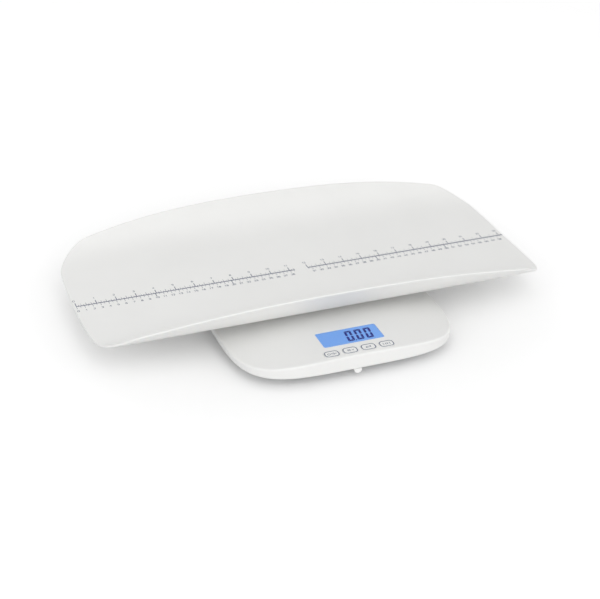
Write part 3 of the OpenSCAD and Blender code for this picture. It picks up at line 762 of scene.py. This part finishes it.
# each kind of number: how far it stands from the line, then its height, the width of a digit and the pen
CM_ONES = (11.6, 3.2, 2.4, 0.6)
CM_TENS = (10.6, 3.5, 2.05, 0.62)
INCH_ONES = (13.2, 3.3, 2.2, 0.55)
INCH_TENS = (13.2, 3.3, 1.9, 0.55)
INCH_NUMBER_SHIFT = -0.6


def on_ruler(x):
    """Whether a tick at x has its place: not in the gap, and not past the ruler's end."""
    return (x < GAP_START + 0.1 or x > GAP_END - 0.1) and x <= RULER_END


def centimetres(ink):
    """Ticks every half centimetre in front of the line, with a number at each whole one."""
    low = RULER_Y - RULER_LINE / 2
    for half in range(2 * LAST_CM + 1):
        x = RULER_ZERO_X + half * CM / 2
        if not on_ruler(x):
            continue
        length, width = HALF_CM_TICK if half % 2 else CM_TICK
        if half % 20 == 0 and half:
            length, width = LONG_TICK
        ink.box(x - width / 2, x + width / 2, low - length, low)
        if half % 2 == 0:
            away, *size = CM_TENS if half >= 20 else CM_ONES
            ink.number(str(half // 2), x, RULER_Y - away, *size)


def inches(ink):
    """Ticks every eighth of an inch behind the line, with a number at each inch."""
    high = RULER_Y + RULER_LINE / 2
    for eighth in range(LAST_EIGHTH + 1):
        x = RULER_ZERO_X + eighth * INCH / 8
        if not on_ruler(x):
            continue
        length, width = INCH_TICKS.get(eighth % 8, EIGHTH_TICK)
        ink.box(x - width / 2, x + width / 2, high, high + length)
        if eighth % 8 == 0:
            inch = eighth // 8
            away, *size = INCH_TENS if inch >= 10 else INCH_ONES
            ink.number(str(inch), x + INCH_NUMBER_SHIFT, RULER_Y + away, *size)


def ruler_mesh():
    """The ruler along the tray: centimetres to the front, inches to the back, with a gap in the middle."""

    def height(x, y):
        return TRAY_Z + bowl(y - TRAY_Y)

    def normal(x, y):
        return bowl_up(y - TRAY_Y)

    ink = Print(height, normal)
    for x0, x1 in ((RULER_START, GAP_START), (GAP_END, RULER_END)):
        ink.box(x0, x1, RULER_Y - RULER_LINE / 2, RULER_Y + RULER_LINE / 2)
    centimetres(ink)
    inches(ink)
    return ink.shell.mesh("ruler_print")


# ---- base casing ----

WINDOW_R = 2.2
WINDOW_GAP = 0.15
KEY_R = 4.8
KEY_GAP = 0.25
KEY_FLANGE = (2.0, 1.4)    # what the flange under the deck adds to a cap's width and depth
KEYS = (1, 2, 3, 4)
SEAT_OPENING_R = PIN_HOLE_R + 4.0
SLOT_START = 1.0           # the slot for the lock's hook
SLOT_END = 15.0
SLOT_DEPTH = 10.0
SLOT_R = 1.0
DECK_INSET = 4.6           # inset of the ring that the deck's flat part and its openings lie in
DECK_GRID = (7.0, 9.0)     # steps of the deck's points along X and Y
HOLE_R = 0.4               # rounding of the edges of the deck's holes


def rounded_box_loop(centre, width, depth, radius, steps=6):
    """Closed loop of a rectangle with round corners, and its outward normals."""
    points, normals = [], []
    for k, (sx, sy) in enumerate(((1, 1), (-1, 1), (-1, -1), (1, -1))):
        cx = centre[0] + sx * (width / 2 - radius)
        cy = centre[1] + sy * (depth / 2 - radius)
        for a in arc(90 * k, 90 * k + 90, steps):
            points.append((cx + radius * math.cos(a), cy + radius * math.sin(a)))
            normals.append((math.cos(a), math.sin(a)))
    return np.array(points), np.array(normals)


def cover_wall_rows(core, normal):
    """Rows of the cover's skin from the lip's inside, round the lip and the edge, to the deck."""

    def row(inset, z, out, up):
        return lifted(core - inset * normal, z), lifted(normal * out, up)

    def round_off(radius, a):
        """What a rounding of this radius takes off the side and off the height at an angle."""
        return radius * (1 - math.cos(a)), radius * (1 - math.sin(a))

    rows = []
    ceiling = crown_z((core - (COVER_WALL + INNER_R) * normal)[:, 0]) - COVER_WALL
    for a in arc(90, 0, 5):
        side, fall = round_off(INNER_R, a)
        rows.append(row(COVER_WALL + side, ceiling - fall, -math.cos(a), -math.sin(a)))
    for a in arc(0, 90, 3):
        side, rise = round_off(LIP_R, a)
        rows.append(row(COVER_WALL - side, LIP_Z + rise, -math.cos(a), -math.sin(a)))
    for a in arc(90, 0, 4):
        side, rise = round_off(LIP_R, a)
        rows.append(row(side, LIP_Z + rise, math.cos(a), -math.sin(a)))
    for a in arc(0, 90, 10):
        side, fall = round_off(EDGE_R, a)
        deck = crown_z((core - side * normal)[:, 0])
        rows.append(row(side, deck - fall, math.cos(a), math.sin(a)))
    return rows


def deck_row(core, normal, inset, drop=0.0):
    """A ring on the deck, or under it by the drop, with upward normals."""
    at = core - inset * normal
    return lifted(at, crown_z(at[:, 0]) - drop), deck_up(at[:, 0])


def key_size(k):
    """Middle, width and depth of a key's cap, and its top's height."""
    low, high = node_box(f"key_{k}")
    width, depth = (high - low)[:2] - KEY_FLANGE
    return (low + high)[:2] / 2, width, depth, high[2]


def deck_holes():
    """Loops of the deck's openings, each with its outward normals, about the base's middle."""
    holes = []

    def opening(centre, width, depth, radius, steps=6):
        about = np.asarray(centre) - (0.0, BASE_Y)
        holes.append(rounded_box_loop(about, width, depth, radius, steps))

    low, high = node_box("display_window")
    width, depth = (high - low)[:2] + 2 * WINDOW_GAP
    opening((low + high)[:2] / 2, width, depth, WINDOW_R + WINDOW_GAP)
    for k in KEYS:
        centre, width, depth, _ = key_size(k)
        opening(centre, width + 2 * KEY_GAP, depth + 2 * KEY_GAP, KEY_R + KEY_GAP, 10)
    for seat in SEATS:
        # the radius is a hair short, so that the corners' ends stay apart
        opening(seat, 2 * SEAT_OPENING_R, 2 * SEAT_OPENING_R, SEAT_OPENING_R - 0.01, 10)
    low, high = node_box("lock_hook")
    middle = ((SLOT_START + SLOT_END) / 2, (low[1] + high[1]) / 2)
    opening(middle, SLOT_END - SLOT_START, SLOT_DEPTH, SLOT_R)
    return holes


def add_hole(shell, loop, out):
    """Rounded edge and wall of one of the deck's openings."""
    wide = loop + HOLE_R * out
    rows = []
    for a in arc(90, 0, 4):
        at = loop + HOLE_R * (1 - math.cos(a)) * out
        z = crown_z(wide[:, 0]) - HOLE_R * (1 - math.sin(a))
        rows.append((lifted(at, z), lifted(-out * math.cos(a), math.sin(a))))
    rows.append((lifted(loop, crown_z(loop[:, 0]) - COVER_WALL), lifted(-out, 0)))
    rows.append((lifted(wide, crown_z(wide[:, 0]) - COVER_WALL), lifted(0 * out, -1)))
    shell.rows(rows)


def add_seat(shell, x, y):
    """A raised seat for one of the tray's legs, with the hole for its locating pin."""
    top = node_box("tray_pads")[0][2]
    low = float(crown_z(SEAT_X + SEAT_R)) - SEAT_SINK
    seat = [(SEAT_R, low, 1, 0)] + rounded(SEAT_R - SEAT_EDGE, top - SEAT_EDGE, SEAT_EDGE, 0, 90)
    seat.append((PIN_HOLE_R + PIN_HOLE_EDGE, top, 0, 1))
    for a in arc(20, 90, 4):
        r = PIN_HOLE_R + PIN_HOLE_EDGE * (1 - math.sin(a))
        seat.append((r, top - PIN_HOLE_EDGE * (1 - math.cos(a)), -math.sin(a), math.cos(a)))
    seat.append((PIN_HOLE_R, top - PIN_HOLE_DEPTH, -1, 0))
    lathe(shell, (x, y), seat)


def top_cover_mesh():
    core, normal = base_loop()
    shell = Shell()
    between = (EDGE_R + DECK_INSET) / 2
    deck_rows = [deck_row(core, normal, inset) for inset in (between, DECK_INSET)]
    top_ring = shell.rows(cover_wall_rows(core, normal) + deck_rows)[-1]
    ring, ring_up = deck_row(core, normal, COVER_WALL + INNER_R, COVER_WALL)
    under_ring = shell.add(ring, -ring_up)

    holes = deck_holes()
    wide = [loop + HOLE_R * out for loop, out in holes]
    co, triangles = fill(deck_rows[-1][0][:, :2], wide, *DECK_GRID)
    up = deck_up(co[:, 0])
    top = lifted(co, crown_z(co[:, 0]))
    under = top - (0, 0, COVER_WALL)
    shell.close(len(core), triangles, ((top, up, top_ring), (under, -up, under_ring)))
    for loop, out in holes:
        add_hole(shell, loop, out)
    shell.move(BASE_Y)
    for x, y in SEATS:
        add_seat(shell, x, y)
    return shell.mesh("top_cover_skin")


# ---- display ----

LENS_T = 0.2
LENS_EDGE = 0.08
FACE_GAP = 0.05            # between the lit face and the lens over it, and round the face
DIGIT_W = 8.9
DIGIT_H = 22.4
DIGIT_BAR = 3.0
DIGIT_PITCH = 12.3
DIGIT_LEAN = 0.10
DIGIT_AT = (-0.6, -0.7)    # the first digit's middle from the window's
SEGMENT_GAP = 0.4
SEGMENT_CUT = 0.8
COMMA = ((-1.1, -0.9), (-0.2, -0.9), (1.0, 2.0), (-0.1, 2.0))


def slab(shell, loop, out, low, high, edge):
    """A plate with rounded upper and lower edges over a loop."""
    rows = []
    for sign, level, angles in ((-1, low, arc(-90, 0, 4)), (1, high, arc(0, 90, 5))):
        for a in angles:
            at = loop - edge * (1 - math.cos(a)) * out
            z = level - sign * edge * (1 - sign * math.sin(a))
            rows.append((lifted(at, z), lifted(out * math.cos(a), math.sin(a))))
    starts = shell.rows(rows)
    shell.fan(starts[-1], len(loop))
    shell.fan(starts[0], len(loop), flip=True)


def zero_segments(w, h, bar, gap):
    """The six segments of a zero, about its middle, with mitred ends and cut outer corners."""
    x, y, cut = w / 2, h / 2, SEGMENT_CUT
    mitre = cut * 0.4
    waist = gap + bar * 0.35
    top = [(-x + cut, y), (x - cut, y), (x - mitre, y - mitre), (x - bar, y - bar),
           (-x + bar, y - bar), (-x + mitre, y - mitre)]
    side = [(x, y - cut), (x - mitre + gap * 0.3, y - mitre - gap), (x - bar, y - bar - gap),
            (x - bar, waist), (x - bar / 2, gap), (x, waist)]
    pieces = []
    for sy in (1, -1):
        pieces.append([(px, sy * py) for px, py in top][::sy])
        for sx in (1, -1):
            pieces.append([(sx * px, sy * py) for px, py in side][:: sx * sy * -1])
    return pieces


def digits_mesh(centre, z):
    """Three zeros, with a comma after the first."""
    ink = level_print(z)
    first_x, digit_y = centre[0] + DIGIT_AT[0], centre[1] + DIGIT_AT[1]
    for k in range(3):
        cx = first_x + k * DIGIT_PITCH
        for piece in zero_segments(DIGIT_W, DIGIT_H, DIGIT_BAR, SEGMENT_GAP):
            ink.area([(cx + px + DIGIT_LEAN * py, digit_y + py) for px, py in piece])
    comma_x = first_x + DIGIT_PITCH / 2 - DIGIT_LEAN * DIGIT_H / 2
    comma_y = digit_y - DIGIT_H / 2
    ink.area([(comma_x + px, comma_y + py) for px, py in COMMA])
    return ink.shell.mesh("display_digits")


def display():
    """The clear lens, the lit face behind it and the digits on that face."""
    low, high = node_box("display_window")
    centre = (low + high)[:2] / 2
    width, depth = (high - low)[:2]
    face_z = high[2] - LENS_T - FACE_GAP
    loop, out = rounded_box_loop(centre, width, depth, WINDOW_R)
    lens = Shell()
    slab(lens, loop, out, high[2] - LENS_T, high[2], LENS_EDGE)
    place("display_lens", lens.mesh("display_lens"), MATERIALS["clear_window"], "base",
          ("display_window",))
    face = Shell()
    slab(face, loop - FACE_GAP * out, out, low[2], face_z, FACE_GAP)
    place("display_face", face.mesh("display_face"), MATERIALS["lcd_face"], "base")
    place("display_digits", digits_mesh(centre, face_z), MATERIALS["lcd_ink"], "base")


# ---- keys ----

CAP_T = 3.4
CAP_EDGE = 0.45
FLANGE_LOW = 4.2           # the flange's faces, under the cap's top
FLANGE_HIGH = 3.3
FLANGE_EDGE = 0.1
FLANGE_R = KEY_R + 0.7
STEM_R = 2.5
STEM_EDGE = 0.4
STEM_SINK = 0.1
OUTLINE_W = 1.05
OUTLINE_INSET = 0.3
KEY_PEN = 0.62
BAR_PEN = 0.9


class KeySymbol:
    """Strokes about the middle of a key, in millimetres."""

    def __init__(self, ink, centre):
        self.ink = ink
        self.cx, self.cy = centre

    def line(self, *points, pen=KEY_PEN):
        self.ink.stroke([(self.cx + x, self.cy + y) for x, y in points], pen)

    def power_and_zero(self):
        """An open ring with a stroke, and a zero between two arrows."""
        ring_x, ring_y, ring_r = -3.6, -0.1, 1.7
        turn = arc(120, 420, 18)
        self.line(*[(ring_x + ring_r * math.cos(a), ring_y + ring_r * math.sin(a)) for a in turn])
        self.line((ring_x, 0.2), (ring_x, 2.1))
        zero_x, away, head = 2.6, 1.9, 0.8
        self.ink.number("0", self.cx + zero_x, self.cy, 3.2, 1.7, KEY_PEN)
        for s in (-1, 1):
            tip = zero_x + s * away
            self.line((tip + s * away, 0), (tip, 0))
            self.line((tip + s * head, head), (tip, 0), (tip + s * head, -head))

    def list_and_chevron(self):
        """Three lines and a chevron."""
        for y in (-1.3, 0, 1.3):
            self.line((-3.6, y), (0.6, y))
        self.line((2.2, 0.8), (3.4, -0.7), (4.6, 0.8))

    def two_arrows(self):
        """Two arrows that point away from each other."""
        head = 0.9
        for s in (-1, 1):
            self.line((-3.2, s), (3.2, s))
            self.line((s * 2.2, s + head), (s * 3.3, s), (s * 2.2, s - head))

    def bars_in_brackets(self):
        """Two bars between brackets."""
        half = 1.7
        for x in (-1.1, 1.1):
            self.line((x, -half), (x, half), pen=BAR_PEN)
        for s in (-1, 1):
            inner, outer = s * 3.4, s * 4.1
            self.line((inner, -half), (outer, -half), (outer, half), (inner, half))


def key_cap_mesh(k):
    """A key's cap, its flange under the deck and its stem."""
    centre, width, depth, top = key_size(k)
    low = node_box(f"key_{k}")[0][2]
    shell = Shell()
    loop, out = rounded_box_loop(centre, width, depth, KEY_R, 10)
    slab(shell, loop, out, top - CAP_T, top, CAP_EDGE)
    flange, flange_out = rounded_box_loop(centre, width + KEY_FLANGE[0], depth + KEY_FLANGE[1], FLANGE_R, 10)
    slab(shell, flange, flange_out, top - FLANGE_LOW, top - FLANGE_HIGH, FLANGE_EDGE)
    stem = [(AXIS_R, low, 0, -1)] + rounded(STEM_R - STEM_EDGE, low + STEM_EDGE, STEM_EDGE, -90, 0, 3)
    lathe(shell, centre, stem + [(STEM_R, top - FLANGE_LOW + STEM_SINK, 1, 0)], 24)
    return shell.mesh(f"key_{k}_cap")


def key_print_mesh(k):
    """A key's outline and its symbol."""
    centre, width, depth, top = key_size(k)
    ink = level_print(top)
    inset = OUTLINE_INSET + OUTLINE_W / 2
    line, _ = rounded_box_loop(centre, width - 2 * inset, depth - 2 * inset, KEY_R - inset, 8)
    ink.stroke(line, OUTLINE_W, closed=True)
    symbol = KeySymbol(ink, centre)
    drawings = (symbol.power_and_zero, symbol.list_and_chevron, symbol.two_arrows, symbol.bars_in_brackets)
    drawings[k - 1]()
    return ink.shell.mesh(f"key_{k}_print")


def keys():
    for k in KEYS:
        body = f"key_{k}"
        place(f"key_{k}_cap", key_cap_mesh(k), MATERIALS["white_key"], body, (body,))
        place(f"key_{k}_print", key_print_mesh(k), MATERIALS["key_ink"], body)


# ---- the other CAD nodes ----

SOFT_EDGED = {"lock_slider": 0.6, "bottom_cover": 0.4, "battery_door": 0.4, "foot_": 0.4, "sole_": 0.3,
              "battery_well": 0.3, "slider_keeper": 0.25, "lock_hook": 0.3, "tray_pads": 0.3}
SHARP_ANGLE = math.radians(50)
WELD_DISTANCE = 1e-6


def finish_cad_nodes():
    """Gives every CAD node its material, and softens the moulded pieces' edges."""
    for name, obj in NODES.items():
        obj.data.materials.clear()
        obj.data.materials.append(MATERIALS[NODE_SLOTS[name]])
        width = next((w for start, w in SOFT_EDGED.items() if name.startswith(start)), None)
        if width:
            weld = obj.modifiers.new("Weld", "WELD")
            weld.merge_threshold = WELD_DISTANCE
            edge = obj.modifiers.new("Edge", "BEVEL")
            edge.width = width * MM
            edge.segments = 2
            edge.limit_method = "ANGLE"
            edge.angle_limit = SHARP_ANGLE
            edge.harden_normals = True


# ---- stage, in metres ----

FLOOR_HALF = 12.0
FLOOR_DROP = 0.0003        # just under the soles, so that no two faces share a plane
FLOOR_SHADE = 1.0
GLOW_IN_PAINTED_SHADOW = 0.075          # painted shadow: the paper's glow held low beside the scale, up to GLOW_START from its middle
GLOW_FAR = 0.22            # and from GLOW_END outward
GLOW_START = 0.15
GLOW_END = 0.50
HORIZON_START = 1.4        # from here outward the paper turns fully white
HORIZON_END = 4.0
WORLD_SPREAD = 0.60        # the surroundings' light, and how white they look
WORLD_SEEN = 1.0
LAMP_AIM = (0, 0, 0.03)

# each lamp: its place, its diameter and its power in watts
LAMPS = {
    "front_low": ((-0.4, -3.2, 0.8), 2.2, 13.0),
    "left_box": ((-2.6, -1.2, 1.6), 2.2, 9.0),
    "right_box": ((2.4, -1.6, 1.8), 2.2, 6.6),
    "back_box": ((0.0, 2.6, 1.6), 2.4, 5.9),
    "front_high": ((-0.2, -2.4, 2.2), 2.4, 17.2),
    "top_box": ((-0.3, -1.3, 2.8), 2.4, 6.7),
}


def combine(tree, operation, a, b):
    """Two values, added or compared."""
    node = tree.nodes.new("ShaderNodeMath")
    node.operation = operation
    tree.links.new(a, node.inputs[0])
    tree.links.new(b, node.inputs[1])
    return node.outputs["Value"]


def paper_glow(tree):
    """The paper's glow: little beside the scale, which paints a shadow round it, and more away from it."""
    coords = tree.nodes.new("ShaderNodeTexCoord")
    shift = tree.nodes.new("ShaderNodeVectorMath")
    shift.operation = "SUBTRACT"
    shift.inputs[1].default_value = (0, BASE_Y * MM, 0)
    tree.links.new(coords.outputs["Object"], shift.inputs[0])
    reach = tree.nodes.new("ShaderNodeVectorMath")
    reach.operation = "LENGTH"
    tree.links.new(shift.outputs["Vector"], reach.inputs[0])
    distance = reach.outputs["Value"]
    # held low beside the scale, so the paper there is darker: a painted shadow round the scale
    near = map_range(tree, distance, GLOW_IN_PAINTED_SHADOW, GLOW_FAR, GLOW_START, GLOW_END)
    far = map_range(tree, distance, 0.0, 1 - GLOW_FAR, HORIZON_START, HORIZON_END)
    return combine(tree, "ADD", near, far)


def looked_at(tree):
    """One for rays that see a thing, mirrored or through glass too, and zero for light that spreads."""
    path = tree.nodes.new("ShaderNodeLightPath")
    seen = path.outputs["Is Camera Ray"]
    for kind in ("Is Glossy Ray", "Is Transmission Ray"):
        seen = combine(tree, "MAXIMUM", seen, path.outputs[kind])
    return seen


def show_white(tree, shader):
    """Seen directly or in a reflection, the paper is white and keeps the scale's shadow."""
    links, nodes = tree.links, tree.nodes
    paper = nodes.new("ShaderNodeBsdfDiffuse")
    paper.inputs["Color"].default_value = (FLOOR_SHADE, FLOOR_SHADE, FLOOR_SHADE, 1)
    glow = nodes.new("ShaderNodeEmission")
    glow.inputs["Color"].default_value = (1, 1, 1, 1)
    links.new(paper_glow(tree), glow.inputs["Strength"])
    seen = nodes.new("ShaderNodeAddShader")
    links.new(paper.outputs["BSDF"], seen.inputs[0])
    links.new(glow.outputs["Emission"], seen.inputs[1])
    mix = nodes.new("ShaderNodeMixShader")
    links.new(looked_at(tree), mix.inputs["Fac"])
    links.new(shader.outputs["BSDF"], mix.inputs[1])
    links.new(seen.outputs["Shader"], mix.inputs[2])
    links.new(mix.outputs["Shader"], nodes["Material Output"].inputs["Surface"])


def floor():
    """White paper that reaches far past the picture's edges."""
    corners = [(sx * FLOOR_HALF, sy * FLOOR_HALF, -FLOOR_DROP)
               for sx, sy in ((-1, -1), (1, -1), (1, 1), (-1, 1))]
    mesh = bpy.data.meshes.new("floor")
    mesh.from_pydata(corners, [], [(0, 1, 2, 3)])
    obj = bpy.data.objects.new("floor", mesh)
    bpy.context.scene.collection.objects.link(obj)
    material, tree, shader = new_material("floor_paper")
    shader.inputs["Base Color"].default_value = (0.90, 0.90, 0.90, 1)
    shader.inputs["Roughness"].default_value = 0.9
    shader.inputs["Specular IOR Level"].default_value = 0.0
    show_white(tree, shader)
    mesh.materials.append(material)


def area_light(name, at, size, power):
    data = bpy.data.lights.new(name, "AREA")
    data.shape = "DISK"
    data.size = size
    data.energy = power
    obj = bpy.data.objects.new(name, data)
    bpy.context.scene.collection.objects.link(obj)
    obj.location = at
    obj.rotation_euler = (Vector(LAMP_AIM) - Vector(at)).to_track_quat("-Z", "Y").to_euler()


def light():
    """Even white surroundings and six large soft lamps."""
    world = bpy.data.worlds.new("studio")
    bpy.context.scene.world = world
    world.use_nodes = True
    tree = world.node_tree
    back = tree.nodes["Background"]
    back.inputs["Color"].default_value = (1, 1, 1, 1)
    strength = map_range(tree, looked_at(tree), WORLD_SPREAD, WORLD_SEEN)
    tree.links.new(strength, back.inputs["Strength"])
    for name, lamp in LAMPS.items():
        area_light(name, *lamp)


def camera():
    a, e, roll = CAM_AZIMUTH, CAM_ELEVATION, CAM_ROLL
    forward = Vector((math.sin(a) * math.cos(e), math.cos(a) * math.cos(e), -math.sin(e)))
    right = Vector((math.cos(a), -math.sin(a), 0))
    up = right.cross(forward)
    right2 = right * math.cos(roll) + up * math.sin(roll)
    up2 = up * math.cos(roll) - right * math.sin(roll)
    data = bpy.data.cameras.new("camera")
    data.lens = CAM_LENS
    data.sensor_width = CAM_SENSOR
    data.sensor_fit = "HORIZONTAL"
    data.clip_end = 100
    obj = bpy.data.objects.new("camera", data)
    bpy.context.scene.collection.objects.link(obj)
    place_at = (Vector(CAM_TARGET) - CAM_DISTANCE * forward) * MM
    turn = Matrix((right2, up2, -forward)).transposed().to_4x4()
    obj.matrix_world = Matrix.Translation(place_at) @ turn
    bpy.context.scene.camera = obj


# ---- the model ----

camera()
light()
floor()
finish_cad_nodes()
place("tray_shell_skin", tray_mesh(), MATERIALS["white_shell"], "tray", ("tray_shell",))
place("ruler_print", ruler_mesh(), MATERIALS["ruler_ink"], "tray")
place("top_cover_skin", top_cover_mesh(), MATERIALS["white_casing"], "base", ("top_cover",))
display()
keys()

view = bpy.context.scene.view_settings
view.view_transform = "Standard"

bpy.context.view_layer.update()
